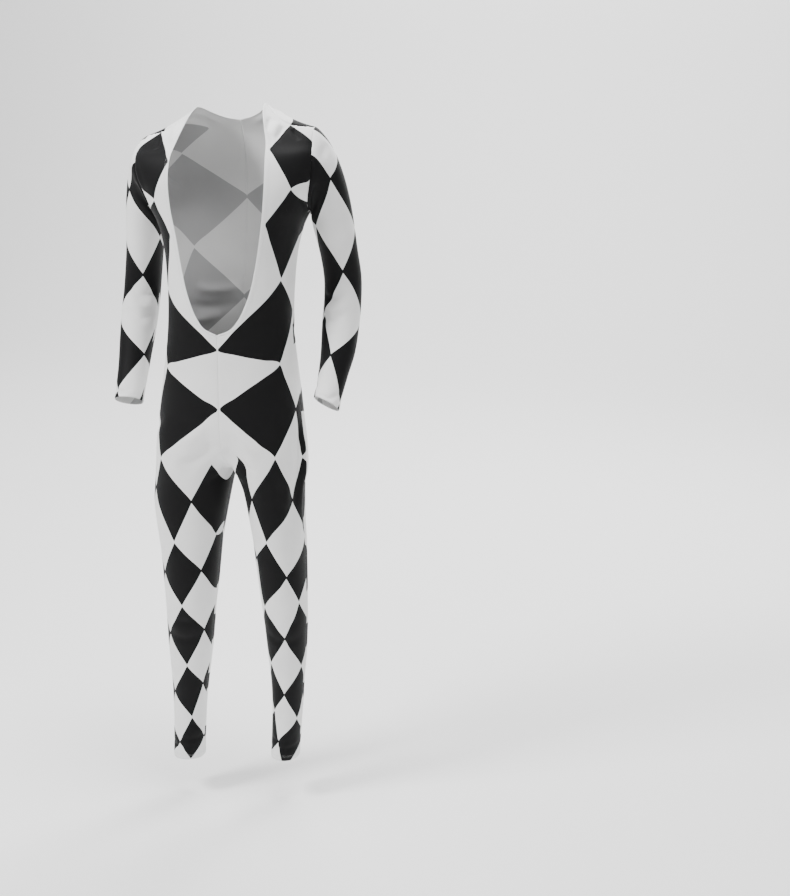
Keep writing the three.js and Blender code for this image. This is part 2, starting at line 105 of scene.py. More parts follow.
# Light
# Soft square lights stand in front on both sides, overhead and behind, and one shines on the backdrop. The
# room around them is pale. Each has a place, a point that it aims at, a size in metres and a power in watts.
ROOM_LIGHT = 0.42
room = bpy.data.worlds.new("pale_room")
room.use_nodes = True
room.node_tree.nodes["Background"].inputs["Color"].default_value = (1, 1, 1, 1)
room.node_tree.nodes["Background"].inputs["Strength"].default_value = ROOM_LIGHT
bpy.context.scene.world = room
for light_name, place, aim, size, power in (
        ("key_light", (-2.1, -1.9, 1.9), (0, 0, -0.6), 0.9, 168),
        ("fill_light", (2.9, -2.2, 0.9), (0, 0, -0.6), 1.6, 26),
        ("top_light", (0.3, -0.3, 2.4), (0, 0, -0.5), 1.0, 105),
        ("rear_light", (1.4, 3.0, 1.6), (0, 0, -0.6), 1.4, 85),
        ("backdrop_light", (0, 3.2, 4.2), (0, 6.6, 0.6), 3.0, 520)):
    lamp = bpy.data.lights.new(light_name, "AREA")
    lamp.size = size
    lamp.energy = power
    lamp_object = bpy.data.objects.new(light_name, lamp)
    lamp_object.location = place
    lamp_object.rotation_euler = (Vector(aim) - Vector(place)).to_track_quat("-Z", "Y").to_euler()
    bpy.context.scene.collection.objects.link(lamp_object)

# Cloth
# It is a warp-knitted nylon with elastane, under a millimetre thick, matt and smooth with a soft sheen.
# Near-black lozenges are printed on its white outer face, and show through as grey on its reverse.
CLOTH_THICK, TUBE_MERGE = 0.8, 0.01
# Millimetres in a metre
MILLIMETRES = 1000
# A wale is a rounded rib and a course a shallower one across it, under a fuzz that rises above both
WALE_WIDTH, COURSE_HEIGHT, COURSE_RISE, FUZZ_RISE = 0.55, 0.42, 0.5, 2
# How steeply a lozenge narrows across and along, how soft its edge is, and the row where the margin ends
LOZENGE_BROAD, LOZENGE_TALL, LOZENGE_SOFT, MARGIN_ROWS = 0.97, 1.02, 0.004, 4
INK, WHITE = (0.004, 0.004, 0.0044, 1), (0.83, 0.83, 0.825, 1)
GREY_THROUGH, REVERSE_WHITE = (0.42, 0.42, 0.425, 1), (0.78, 0.78, 0.775, 1)
# The places of the colour sockets on Blender's Mix node
MIX_SHARE, MIX_FIRST, MIX_SECOND, MIX_RESULT = 0, 6, 7, 2


def knit_material(name, dark, light):
    """A knitted face whose lozenges are where the print's column and row both lie near a half."""
    material = bpy.data.materials.new(name)
    material.use_nodes = True
    tree = material.node_tree
    surface = tree.nodes["Principled BSDF"]

    def node(kind, **settings):
        made = tree.nodes.new(kind)
        for key, value in settings.items():
            setattr(made, key, value)
        return made

    def calculate(operation, *values):
        made = node("ShaderNodeMath", operation=operation)
        for socket, value in zip(made.inputs, values):
            if isinstance(value, bpy.types.NodeSocket):
                tree.links.new(value, socket)
            else:
                socket.default_value = value
        return made.outputs[0]

    def split(layer):
        parts = node("ShaderNodeSeparateXYZ")
        tree.links.new(node("ShaderNodeUVMap", uv_map=layer).outputs["UV"], parts.inputs["Vector"])
        return parts.outputs["X"], parts.outputs["Y"]

    def from_middle(part, slope):
        aside = calculate("SUBTRACT", calculate("FRACT", part), 0.5)
        return calculate("MULTIPLY", calculate("ABSOLUTE", aside), slope)

    column, row = split("lozenges")
    across, along = from_middle(column, LOZENGE_BROAD), from_middle(row, LOZENGE_TALL)
    printed = node("ShaderNodeMapRange", interpolation_type="SMOOTHSTEP")
    tree.links.new(calculate("ADD", across, along), printed.inputs["Value"])
    printed.inputs["From Min"].default_value = 0.5 + LOZENGE_SOFT / 2
    printed.inputs["From Max"].default_value = 0.5 - LOZENGE_SOFT / 2
    # The margin beside the neckline and the middle seam is left white, down to the crotch
    inked = calculate("MULTIPLY", printed.outputs["Result"], calculate(
        "MAXIMUM", calculate("GREATER_THAN", column, 0), calculate("GREATER_THAN", row, MARGIN_ROWS)))

    # The relief of the knit
    wale, course = split("knit")
    rib = calculate("SINE", calculate("MULTIPLY", wale, 2 * math.pi / WALE_WIDTH))
    loop = calculate("SINE", calculate("MULTIPLY", course, 2 * math.pi / COURSE_HEIGHT))
    relief = calculate("ADD", rib, calculate("MULTIPLY", loop, COURSE_RISE))
    place = node("ShaderNodeTexCoord")
    fuzz = node("ShaderNodeTexNoise")
    fuzz.inputs["Scale"].default_value = 260
    fuzz.inputs["Detail"].default_value = 3
    tree.links.new(place.outputs["Object"], fuzz.inputs["Vector"])
    bump = node("ShaderNodeBump")
    bump.inputs["Strength"].default_value = 0.12
    bump.inputs["Distance"].default_value = 0.00012
    fuzz_height = calculate("MULTIPLY", fuzz.outputs["Fac"], FUZZ_RISE)
    tree.links.new(calculate("ADD", relief, fuzz_height), bump.inputs["Height"])
    tree.links.new(bump.outputs["Normal"], surface.inputs["Normal"])

    # The colour varies by a few percent, in soft patches a few centimetres wide
    patchy = node("ShaderNodeTexNoise")
    patchy.inputs["Scale"].default_value = 14
    patchy.inputs["Detail"].default_value = 4
    tree.links.new(place.outputs["Object"], patchy.inputs["Vector"])
    shade = node("ShaderNodeMapRange")
    shade.inputs["From Min"].default_value = 0.3
    shade.inputs["From Max"].default_value = 0.7
    shade.inputs["To Min"].default_value = 0.93
    shade.inputs["To Max"].default_value = 1.0
    tree.links.new(patchy.outputs["Fac"], shade.inputs["Value"])
    cloth_colour = node("ShaderNodeMix", data_type="RGBA")
    cloth_colour.inputs[MIX_FIRST].default_value = light
    cloth_colour.inputs[MIX_SECOND].default_value = dark
    tree.links.new(inked, cloth_colour.inputs[MIX_SHARE])
    shaded = node("ShaderNodeMix", data_type="RGBA", blend_type="MULTIPLY")
    shaded.inputs[MIX_SHARE].default_value = 1
    tree.links.new(cloth_colour.outputs[MIX_RESULT], shaded.inputs[MIX_FIRST])
    tree.links.new(shade.outputs["Result"], shaded.inputs[MIX_SECOND])
    tree.links.new(shaded.outputs[MIX_RESULT], surface.inputs["Base Color"])
    surface.inputs["Roughness"].default_value = 0.62
    surface.inputs["Specular IOR Level"].default_value = 0.12
    surface.inputs["Sheen Weight"].default_value = 0.03
    surface.inputs["Sheen Roughness"].default_value = 0.45
    return material


knit_face = knit_material("printed_knit", INK, WHITE)
knit_reverse = knit_material("knit_reverse", GREY_THROUGH, REVERSE_WHITE)


def lay_cloth(name, points, lozenges, lengths, turned_over, tube=False):
    """A thin shell of cloth, from a flat grid whose own x and y tell which point each corner goes to."""
    rows, columns = points.shape[:2]
    half = 0.5
    flat = bmesh.new()
    bmesh.ops.create_grid(flat, x_segments=columns - 1, y_segments=rows - 1, size=half)
    mesh = bpy.data.meshes.new(f"{name}_cloth")
    flat.to_mesh(mesh)
    flat.free()
    spots = np.empty(3 * len(mesh.vertices))
    mesh.vertices.foreach_get("co", spots)
    j = np.rint((spots[0::3] + half) * (columns - 1)).astype(int)
    i = np.rint((half - spots[1::3]) * (rows - 1)).astype(int)
    mesh.vertices.foreach_set("co", (points[i, j] / MILLIMETRES).ravel())
    corners = np.empty(len(mesh.loops), np.int32)
    mesh.loops.foreach_get("vertex_index", corners)
    for layer, field in (("lozenges", lozenges), ("knit", lengths)):
        mesh.uv_layers.new(name=layer).data.foreach_set("uv", field[i, j][corners].ravel())
    shaped = bmesh.new()
    shaped.from_mesh(mesh)
    if tube:
        bmesh.ops.remove_doubles(shaped, verts=shaped.verts, dist=TUBE_MERGE / MILLIMETRES)
    if turned_over:
        bmesh.ops.reverse_faces(shaped, faces=shaped.faces)
    shaped.to_mesh(mesh)
    shaped.free()
    mesh.shade_smooth()
    mesh.materials.append(knit_face)
    mesh.materials.append(knit_reverse)
    piece = bpy.data.objects.new(f"{name}_cloth", mesh)
    bpy.context.scene.collection.objects.link(piece)
    thickness = piece.modifiers.new("cloth", "SOLIDIFY")
    thickness.thickness = CLOTH_THICK / MILLIMETRES
    thickness.offset = 0
    thickness.material_offset = 1
    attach(piece, "root")
    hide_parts(name)
    return piece


# Stitching
# Twin needles hold the turned hems of the neckline, cuffs and ankles, in two rows of fine grey thread that
# stand just proud of the knit.
STITCH_LONG, STITCH_WIDE, STITCH_HIGH, STITCH_PITCH = 1.9, 0.42, 0.3, 3.0
# A stitch is drawn out from a ball one millimetre across, and turned along the line a little way ahead of it
BALL_RADIUS, LOOK_AHEAD = 0.5, 0.5
# How far from the edge each row of stitches lies
TWIN_ROWS = {"hem": (9.0, 12.0), "neck": (6.0, 8.5)}
THREAD_DARK, THREAD_PALE = (0.36, 0.36, 0.36, 1), (0.55, 0.55, 0.55, 1)
thread = bpy.data.materials.new("grey_thread")
thread.use_nodes = True
thread_surface = thread.node_tree.nodes["Principled BSDF"]
twist = thread.node_tree.nodes.new("ShaderNodeTexNoise")
twist.inputs["Scale"].default_value = 900
tone = thread.node_tree.nodes.new("ShaderNodeValToRGB")
tone.color_ramp.elements[0].color = THREAD_DARK
tone.color_ramp.elements[1].color = THREAD_PALE
thread_place = thread.node_tree.nodes.new("ShaderNodeTexCoord")
thread.node_tree.links.new(thread_place.outputs["Object"], twist.inputs["Vector"])
thread.node_tree.links.new(twist.outputs["Fac"], tone.inputs["Fac"])
thread.node_tree.links.new(tone.outputs["Color"], thread_surface.inputs["Base Color"])
thread_surface.inputs["Roughness"].default_value = 0.7


def level_line(field, level, points, normals, axis):
    """The points and normals where a length measured along one axis of a piece comes to a level."""
    lines = []
    for k in range(field.shape[1 - axis]):
        lengths = field[:, k] if axis == 0 else field[k]
        spots = points[:, k] if axis == 0 else points[k]
        ways = normals[:, k] if axis == 0 else normals[k]
        if not lengths.min() <= level <= lengths.max():
            continue
        rise = np.argsort(lengths)
        lines.append([
            [np.interp(level, lengths[rise], part[rise, c]) for c in range(3)] for part in (spots, ways)])
    return np.array(lines)


def stitch_line(threads, line):
    """Stitches at an even pitch along a line of points and normals."""
    spots, ways = line[:, 0], line[:, 1]
    gone = np.r_[0, np.cumsum(np.linalg.norm(np.diff(spots, axis=0), axis=1))]
    for here in np.arange(STITCH_PITCH / 2, gone[-1], STITCH_PITCH):
        spot, ahead = (
            [np.interp(x, gone, spots[:, c]) for c in range(3)] for x in (here, here + LOOK_AHEAD))
        normal = Vector([np.interp(here, gone, ways[:, c]) for c in range(3)]).normalized()
        along = (Vector(ahead) - Vector(spot)).normalized()
        side_way = normal.cross(along).normalized()
        made = bmesh.ops.create_icosphere(threads, subdivisions=1, radius=BALL_RADIUS / MILLIMETRES)["verts"]
        turn = Matrix((along * STITCH_LONG, side_way * STITCH_WIDE, normal * STITCH_HIGH)).transposed()
        lifted = (Vector(spot) + normal * (CLOTH_THICK / 2)) / MILLIMETRES
        bmesh.ops.transform(threads, matrix=Matrix.Translation(lifted) @ turn.to_4x4(), verts=made)


def stitching(name, lines):
    """All the stitches of one piece, along the lines that they follow."""
    threads = bmesh.new()
    for line in lines:
        if len(line) > 1:
            stitch_line(threads, line)
    bmesh.ops.recalc_face_normals(threads, faces=threads.faces)
    mesh = bpy.data.meshes.new(name)
    threads.to_mesh(mesh)
    threads.free()
    mesh.shade_smooth()
    mesh.materials.append(thread)
    stitches = bpy.data.objects.new(name, mesh)
    bpy.context.scene.collection.objects.link(stitches)
    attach(stitches, "root")
    return stitches


def finish_cloth(piece, points, over, down, lines):
    """Stitches a piece's hems."""
    stitches = stitching(piece.name.replace("cloth", "stitching"), lines)
    cells = np.linalg.norm(np.cross(np.diff(points, axis=0)[:, :-1], np.diff(points, axis=1)[:-1]), axis=-1)


# Fronts
# Each front is one piece of knit from the shoulder seam to the ankle hem, with half of the deep neckline.
# They are overlocked together down the middle below it, and to the backs at the shoulder, side and inseam.
SIDES = {"left": 1, "right": -1}
# Heights, from the side neck down. The shoulder's arch runs into the upright cloth at the arch's foot
ARCH_FOOT, UNDERARM, NECKLINE_END, CLEFT_TOP, CROTCH, HEM = -100, -204, -461, -640, -758, -1438
HEMS = {"left": -1428, "right": HEM}
# How far from its foot the arch is softened, and how often for each square of FINER
ARCH_SOFT, ARCH_PASSES = 45, 0.4
# Half the neckline's width at the shoulder, and how far the nape dips
SIDE_NECK, NAPE_DROP = 72, 28
# The shoulder's slope, how much it levels out, and where it ends
SHOULDER_FALL, SHOULDER_BOW, SHOULDER_TIP = 0.7, 0.215, 179
# How far the shoulder seam lies forward of the crest, and how fast it swings there and back, in radians
SEAM_FORWARD, SEAM_SWING = 0.54, 2.86
# The shoulders lie a little aside and tilted, less and less down to a height
SHOULDER_DRIFT, SHOULDER_TILT, SHOULDER_REACH = -4, 0.075, -260
# The chest is wider on the right, down to a height
SWELL, SWELL_FOOT = {"right": 9, "left": 0}, -170
# Where the two legs part: how far the seam lies aside, and how the hollow between them opens
CROTCH_SHIFT, CLEFT_POWER, CLEFT_ROUND, CLEFT_ONSET, CLEFT_FADE = 8, 1.6, 22, 0.25, 3


def table(columns, *rows):
    """Named columns of numbers, with the rows turned round so that heights rise."""
    return {name: np.array(values, float)[::-1] for name, values in zip(columns.split(), zip(*rows))}


def curve(rows, name):
    """A smooth curve through one column of a table."""
    heights, values = rows["height"], rows[name]
    last = len(heights) - 1
    before, after = np.r_[0, :last], np.r_[1:last + 1, last]
    slopes = (values[after] - values[before]) / (heights[after] - heights[before])

    def at(height):
        h = np.clip(height, heights[0], heights[-1])
        i = np.clip(np.searchsorted(heights, h, side="right") - 1, 0, last - 1)
        span = heights[i + 1] - heights[i]
        t = (h - heights[i]) / span
        near = (1 + 2 * t) * (1 - t) ** 2 * values[i] + t * (1 - t) ** 2 * span * slopes[i]
        return near + t * t * (3 - 2 * t) * values[i + 1] + t * t * (t - 1) * span * slopes[i + 1]
    return at


# Half width of the front opening
neckline = curve(table(
    "height half", (0, SIDE_NECK), (-28, 85), (-60, 95), (-100, 100), (-150, 101), (-205, 97), (-265, 88),
    (-320, 79), (-367, 69), (-405, 56), (-432, 42), (-450, 26), (NECKLINE_END, 0)), "half")
# How far out the armhole crosses each height
armhole = curve(table(
    "height out", (0, SHOULDER_TIP), (-40, 181), (-80, 183), (-120, 184), (-150, 181), (-180, 175),
    (UNDERARM, 169.5)), "out")
# Body sections: half width, depths in front of and behind the middle, the middle's Y, and squareness
BODY = [
    (0, 196, 74, 74, 12, 2.6), (-60, 196, 86, 85, 12, 2.6), (-110, 197, 108, 97, 9, 2.6),
    (-155, 190, 114, 106, 4, 2.55), (UNDERARM, 170, 109, 113, -3, 2.5), (-240, 152, 108, 110, -3, 2.45),
    (-295, 139, 106, 101, -1, 2.4), (-360, 134, 103, 91, 0, 2.35), (-420, 133, 101, 87, 0, 2.3),
    (-480, 136, 99, 91, 0, 2.3), (-540, 143, 99, 101, 0, 2.3), (-600, 151, 100, 111, 0, 2.3),
    (-660, 158, 100, 118, 0, 2.25), (-715, 163, 96, 117, 0, 2.2), (CROTCH, 165, 91, 108, 0, 2.12)]
# Leg sections: inner and outer edges, the middle's Y, and depths in front and behind
LEGS = {
    "right": [
        (-792, 0, 168, 0, 86, 99), (-845, 9, 170, -3, 80, 88), (-890, 16, 165, -5, 76, 79),
        (-935, 22, 157, -8, 71, 73), (-980, 25, 151, -11, 66, 67), (-1025, 28, 147, -14, 61, 61),
        (-1072, 33, 143, -16, 56, 57), (-1119, 37, 141, -15, 52, 55), (-1168, 42, 140, -12, 47, 57),
        (-1216, 48, 137, -10, 43, 55), (-1265, 54, 133, -9, 40, 49), (-1313, 58, 131, -9, 38, 43),
        (-1362, 60, 130, -10, 37, 40), (HEMS["right"], 61, 130, -12, 39, 39)],
    "left": [
        (-792, 28, 160, 0, 86, 99), (-830, 38, 160, 1, 82, 90), (-874, 46, 162, 1, 77, 82),
        (-918, 54, 166, 0, 72, 75), (-963, 60, 169, -2, 66, 68), (-1008, 66, 171, -3, 60, 62),
        (-1053, 72, 172, -3, 56, 57), (-1100, 78, 172, 0, 52, 55), (-1148, 82, 170, 5, 47, 57),
        (-1196, 86, 167, 9, 43, 56), (-1245, 91, 163, 12, 40, 50), (-1293, 93, 161, 14, 38, 44),
        (-1342, 93, 158, 15, 37, 40), (HEMS["left"], 91, 153, 16, 39, 39)]}
LEG_SQUARE = 2.08

# Rows of a piece: heights at the side and at the front's and the back's inner edge, each reached in so many
# steps that are even or crowd at the start ("in") or at the end ("out")
ROWS = [
    (0, 0, 0, 0, ""), (-84, -84, -NAPE_DROP, 5, "in in out"), (UNDERARM, -220, -200, 5, "even even even"),
    (-360, -380, -365, 5, "even even even"), (-505, NECKLINE_END, -520, 6, "even out even"),
    (-685, -675, -685, 6, "even even even"), (-820, CROTCH, CROTCH, 6, "even out out"),
    (-1080, -1080, -1080, 7, "even in in"), (HEM, HEM, HEM, 8, "even even even")]
EASE = {
    "even": lambda t: t,
    "in": lambda t: 1 - np.cos(t * math.pi / 2),
    "out": lambda t: np.sin(t * math.pi / 2)}
FINER = 10
UNDERARM_ROW = sum(steps for *_, steps, _ in ROWS[:3]) * FINER


def row_heights():
    """The height of every row at the side and at the front's and the back's inner edge."""
    heights = {"side": [0.0], "front": [0.0], "back": [0.0]}
    for above, below in zip(ROWS, ROWS[1:]):
        t = np.arange(1, below[3] * FINER + 1) / (below[3] * FINER)
        for where, start, end, ease in zip(heights, above, below, below[4].split()):
            heights[where].extend(start + (end - start) * EASE[ease](t))
    return {where: np.array(values) for where, values in heights.items()}


ROW_HEIGHTS = row_heights()


def body_cloth(side, face, across):
    """Points of a front or back, and their heights, at shares across it from 0 at its inner edge to 1."""
    sign = SIDES[side]
    legs = [(h, outer, front, back, middle, LEG_SQUARE)
            for h, _, outer, middle, front, back in LEGS[side]]
    outline = table("height outer front back middle square", *BODY, *legs)
    inseam = table("height inner", (CROTCH, sign * CROTCH_SHIFT), *[row[:2] for row in LEGS[side]])
    u = np.asarray(across)[None, :]
    inner_height, side_height = ROW_HEIGHTS[face][:, None], ROW_HEIGHTS["side"][:, None]
    height = inner_height + (side_height - inner_height) * u * u * (3 - 2 * u)
    down_leg = (HEMS[side] - CROTCH) * (CROTCH - height) / (CROTCH - HEM)
    height = np.where(height < CROTCH, CROTCH + down_leg, height)
    drift = sign * CROTCH_SHIFT * np.clip((NECKLINE_END - height) / (NECKLINE_END - CROTCH), 0, 1)
    seam = np.where(height > CROTCH, drift, curve(inseam, "inner")(height))
    parted = np.clip((CLEFT_TOP - height) / (CLEFT_TOP - CROTCH), 0, 1) ** CLEFT_POWER
    parted = np.where(height > CROTCH, parted, 1)
    swell = SWELL[side] * np.sin(math.pi * np.clip(height / SWELL_FOOT, 0, 1))
    half = (curve(outline, "outer")(height) + swell - seam) / (1 + parted)
    middle = seam + parted * half
    square = curve(outline, "square")(height)
    if face == "front":
        inner = np.where(height <= NECKLINE_END, seam, np.maximum(seam, neckline(height)))
    else:
        nape = SIDE_NECK * np.sqrt(np.clip(1 + height / NAPE_DROP, 0, None))
        inner = np.where(height <= -NAPE_DROP, seam, nape)
    outer = np.where(height > UNDERARM, armhole(height) + swell, middle + half)

    def angle_at(x):
        share = np.clip((x - middle) / half, -1, 1)
        return np.arccos(np.sign(share) * np.abs(share) ** (square / 2))

    angle = angle_at(inner) + (angle_at(outer) - angle_at(inner)) * u
    x = middle + half * np.sign(np.cos(angle)) * np.abs(np.cos(angle)) ** (2 / square)
    # The cloth bridges the cleft between the legs in a soft hollow
    hollow = CLEFT_ROUND * (1 - parted ** CLEFT_FADE) * np.minimum(1, parted / CLEFT_ONSET)
    soft = np.hypot(x - seam, hollow) - hollow
    full = middle + half - seam
    soft_share = (seam + soft * full / (np.hypot(full, hollow) - hollow) - middle) / half
    depth = np.maximum(0, 1 - np.abs(np.clip(soft_share, -1, 1)) ** square) ** (1 / square)
    # Above the arch's foot the section leans over the shoulder's crest, and the seam lies forward of it
    level = np.arccos(np.clip(1 - height / ARCH_FOOT, -1, 1)) / (math.pi / 2)
    outward = np.clip((x - SIDE_NECK) / (SHOULDER_TIP - SIDE_NECK), 0, 1)
    seam_angle = SEAM_FORWARD * np.sin(SEAM_SWING * outward)
    foot = -math.pi / 2 if face == "front" else math.pi / 2
    lean = np.where(height > ARCH_FOOT, -seam_angle + (foot + seam_angle) * level, foot)
    crest = -np.maximum(0, x - SIDE_NECK) * (SHOULDER_FALL - SHOULDER_BOW * outward)
    z = np.where(height > ARCH_FOOT, ARCH_FOOT + (crest - ARCH_FOOT) * np.cos(lean), height)
    deep = np.where(lean < 0, curve(outline, "front")(height), curve(outline, "back")(height))
    y = curve(outline, "middle")(height) + deep * np.sin(lean) * depth
    fade = np.maximum(0, 1 - height / SHOULDER_REACH)
    z = z + SHOULDER_TILT * fade * x * sign
    points = np.stack([x * sign + SHOULDER_DRIFT * fade, y, z], -1)
    # The arch runs softly into the upright cloth below it
    eased = points.copy()
    for _ in range(round(ARCH_PASSES * FINER ** 2)):
        eased[1:-1] = eased[1:-1] / 2 + (eased[:-2] + eased[2:]) / 4
    near_foot = np.exp(-((height - ARCH_FOOT) / ARCH_SOFT) ** 2)[..., None]
    return points + near_foot * (eased - points), height


# Columns crowd towards a piece's two long edges, where its seams dip
COLUMNS = 60
EDGE_COLUMNS, EDGE_SHARE = np.array([0, 0.004, 0.009, 0.016, 0.025]), 0.035
ACROSS = np.r_[EDGE_COLUMNS, np.linspace(EDGE_SHARE, 1 - EDGE_SHARE, COLUMNS), 1 - EDGE_COLUMNS[::-1]]


LEAST_LENGTH = 1e-12


def unit(vectors):
    return vectors / np.maximum(np.linalg.norm(vectors, axis=-1, keepdims=True), LEAST_LENGTH)


def outward_normals(points, flip):
    """Which way is out of the costume at each point. `flip` is -1 where the grid runs the other way round."""
    along = np.gradient(points, axis=0)
    over = np.gradient(points, axis=1)
    return unit(np.cross(over, along)) * flip


def cloth_lengths(points):
    """How far each point lies over the cloth from the first column, and down it from the first row."""
    over = np.pad(np.linalg.norm(np.diff(points, axis=1), axis=-1), ((0, 0), (1, 0)))
    down = np.pad(np.linalg.norm(np.diff(points, axis=0), axis=-1), ((1, 0), (0, 0)))
    return np.cumsum(over, axis=1), np.cumsum(down, axis=0)


# An overlocked seam draws the cloth in along its line and puckers it a little, most of all at the shoulder
SEAM_DIP, SEAM_REACH, PUCKER, PUCKER_REACH = 0.6, 2.2, 0.16, 5.0
SHOULDER_PUCKER, MIDDLE_PUCKER = 2.5, 0.6
# The ripples that make up a pucker: share, length and start
RIPPLES = [(1, 2.1, 0), (0.6, 1.27, 1.3), (0.5, 3.7, 0.4)]
# A hem is a turned, doubled band that rolls in at its edge. The band at the neck is narrower
HEM_WIDTH, HEM_RISE, HEM_STEP, HEM_ROLL, ROLL_REACH, NECK_BAND = 14, 0.4, 1.6, 0.3, 1.2, 11
# A crease whose lift is 1 rises this far. Its path has so many points, and its ends are a little blunt
CREASE_DEPTH, CREASE_POINTS, CREASE_BLUNT = 2.2, 14, 0.7
# Creases fade out this near to the edges of a piece, which are held flat
CALM_REACH = 3


def seam_lift(away, length, pucker=1.0):
    """The dip and the pucker of a seam, at lengths away from it and along it."""
    ripple = sum(share * np.sin(length / wave + start) for share, wave, start in RIPPLES)
    return -SEAM_DIP * np.exp(-away / SEAM_REACH) + pucker * PUCKER * ripple * np.exp(-away / PUCKER_REACH)


def hem_lift(away):
    """The raised band of a hem, at lengths away from its edge."""
    step = np.clip((HEM_WIDTH - away) / HEM_STEP, 0, 1)
    return HEM_RISE * step * step * (3 - 2 * step) - HEM_ROLL * np.exp(-away / ROLL_REACH)


def spot_on(points, shares, height, share, at_height):
    """The point of a piece at a share across it and a height."""
    j = int(np.clip(np.searchsorted(shares, share) - 1, 0, len(shares) - 2))
    t = (share - shares[j]) / (shares[j + 1] - shares[j])
    near_and_far = []
    for k in (j, j + 1):
        fallen = np.maximum.accumulate(-height[:, k])
        near_and_far.append(np.array([np.interp(-at_height, fallen, points[:, k, c]) for c in range(3)]))
    return (1 - t) * near_and_far[0] + t * near_and_far[1]


def crease_lift(points, path, width, lift):
    """A soft trough (negative) or ridge along a bowed path that fades at both ends."""
    start, middle, end = path
    t = np.linspace(0, 1, CREASE_POINTS)[:, None]
    line = (1 - t) ** 2 * start + 2 * t * (1 - t) * (2 * middle - (start + end) / 2) + t * t * end
    nearest = np.full(points.shape[:2], np.inf)
    share = np.zeros(points.shape[:2])
    for k, (a, b) in enumerate(zip(line, line[1:])):
        way = b - a
        s = np.clip(((points - a) @ way) / (way @ way), 0, 1)
        gap = np.linalg.norm(points - a - s[..., None] * way, axis=-1)
        closer = gap < nearest
        nearest = np.where(closer, gap, nearest)
        share = np.where(closer, (k + s) / (len(line) - 1), share)
    fade = np.sin(math.pi * np.clip(share, 0, 1)) ** CREASE_BLUNT
    return CREASE_DEPTH * lift * np.exp(-(nearest / width) ** 2) * fade


def creases_lift(points, shares, height, creases):
    """All the creases of a piece together, from their table."""
    lift = 0
    for *path, width, rise in creases:
        spots = [spot_on(points, shares, height, a, h) for a, h in zip(path[0::2], path[1::2])]
        lift = lift + crease_lift(points, spots, width, rise)
    return lift


def calm_edges(*lengths):
    """How free a point is to crease, from nothing at an edge to wholly, by its lengths from the edges."""
    return 1 - np.exp(-np.minimum.reduce(lengths) / CALM_REACH)


# Corners of the printed lozenges, as the print's column and row, the share across the piece and the height.
# The print is an even lattice. It bends because the knit is stretched unevenly over the body.
CORNERS = {
    "left": [
        (0.5, 0, 0.47, 0), (0, 0.5, 0.07, -81), (0.75, 0.25, 1.0, -49), (0.72, 0.78, 0.94, -150),
        (0.5, 1, 0.52, -164), (0.88, 1.38, 0.92, -189), (0.92, 1.5, 1.0, -208), (0, 1.5, 0.07, -232),
        (0.93, 1.57, 1.0, -256), (0.5, 2, 0.56, -345), (-0.008, 2.5, 0, -492), (1, 2.5, 1.0, -417),
        (0.5, 3, 0.65, -520), (-0.02, 3.5, 0, -617), (1, 3.5, 0.85, -620), (0.5, 4, 0.53, -716),
        (1.5, 4, 0.92, -724), (-0.45, 4.05, 0.20, -725), (0, 4.5, 0.36, -812), (-0.2, 4.7, 0.26, -844),
        (-0.8, 4.45, 0.0, -800), (1, 4.5, 0.83, -815), (0.5, 5, 0.46, -905), (1.5, 5, 1.0, -906),
        (0.05, 5.45, 0.27, -942), (1, 5.5, 0.65, -984), (1.93, 5.5, 1.0, -990), (0.5, 6, 0.28, -1060),
        (1.5, 6, 0.81, -1045), (1, 6.5, 0.56, -1130), (1.9, 6.4, 1.0, -1092), (0.5, 7, 0.27, -1197),
        (1.5, 7, 0.86, -1202), (1, 7.5, 0.52, -1268), (1.95, 7.5, 1.0, -1263), (0.5, 8, 0.28, -1312),
        (1.5, 8, 0.81, -1329), (1, 8.5, 0.41, -1384), (-0.02, 6.5, 0, -1128), (0, 7.5, 0, -1264),
        (1.85, 8.5, 1.0, -1384)],
    "right": [
        (0.5, 0, 0.52, 0), (0, 0.5, 0.02, -108), (0.75, 0.25, 1.0, -58), (0.65, 0.85, 0.68, -174),
        (0.5, 1, 0.38, -189), (0.6, 1.1, 0.54, -205), (0, 1.5, 0.15, -263), (0.5, 2, 0.60, -376),
        (-0.008, 2.5, 0, -492), (1, 2.5, 1.0, -445), (0.5, 3, 0.63, -539), (-0.02, 3.5, 0, -619),
        (1, 3.5, 0.80, -645), (0.5, 4, 0.65, -737), (-0.5, 4, 0.146, -739), (-0.75, 4.25, 0.096, -785),
        (-0.6, 4.1, 0, -760), (-0.62, 4.5, 0, -818), (0, 4.5, 0.41, -826), (1, 4.5, 0.80, -808),
        (0.5, 5, 0.56, -920), (-0.5, 5, 0.13, -907), (-0.55, 4.96, 0, -888), (0, 5.5, 0.29, -984),
        (1, 5.5, 0.76, -996), (-0.36, 5.5, 0, -976), (-0.3, 5.8, 0.117, -1027), (1.42, 5.5, 1.0, -990),
        (0.5, 6, 0.51, -1066), (0, 6.5, 0.21, -1125), (1, 6.5, 0.74, -1139), (0.5, 7, 0.46, -1211),
        (0, 7.5, 0.16, -1259), (1, 7.5, 0.73, -1281), (0.5, 8, 0.36, -1337), (0, 8.5, 0.05, -1391),
        (1, 8.5, 0.60, -1399), (0.5, 9, 0.37, -1437), (-0.38, 6.5, 0, -1125), (-0.38, 7.5, 0, -1259),
        (1.45, 6.5, 1.0, -1136), (1.47, 7.5, 1.0, -1277)]}


# Two corners are joined by a lozenge's edge when they are half a column and half a row apart
HALF_STEP, EDGE_TOLERANCE, EDGE_PARTS = 0.5, 0.03, (0.25, 0.5, 0.75)
LEAST_GAP = 1e-6


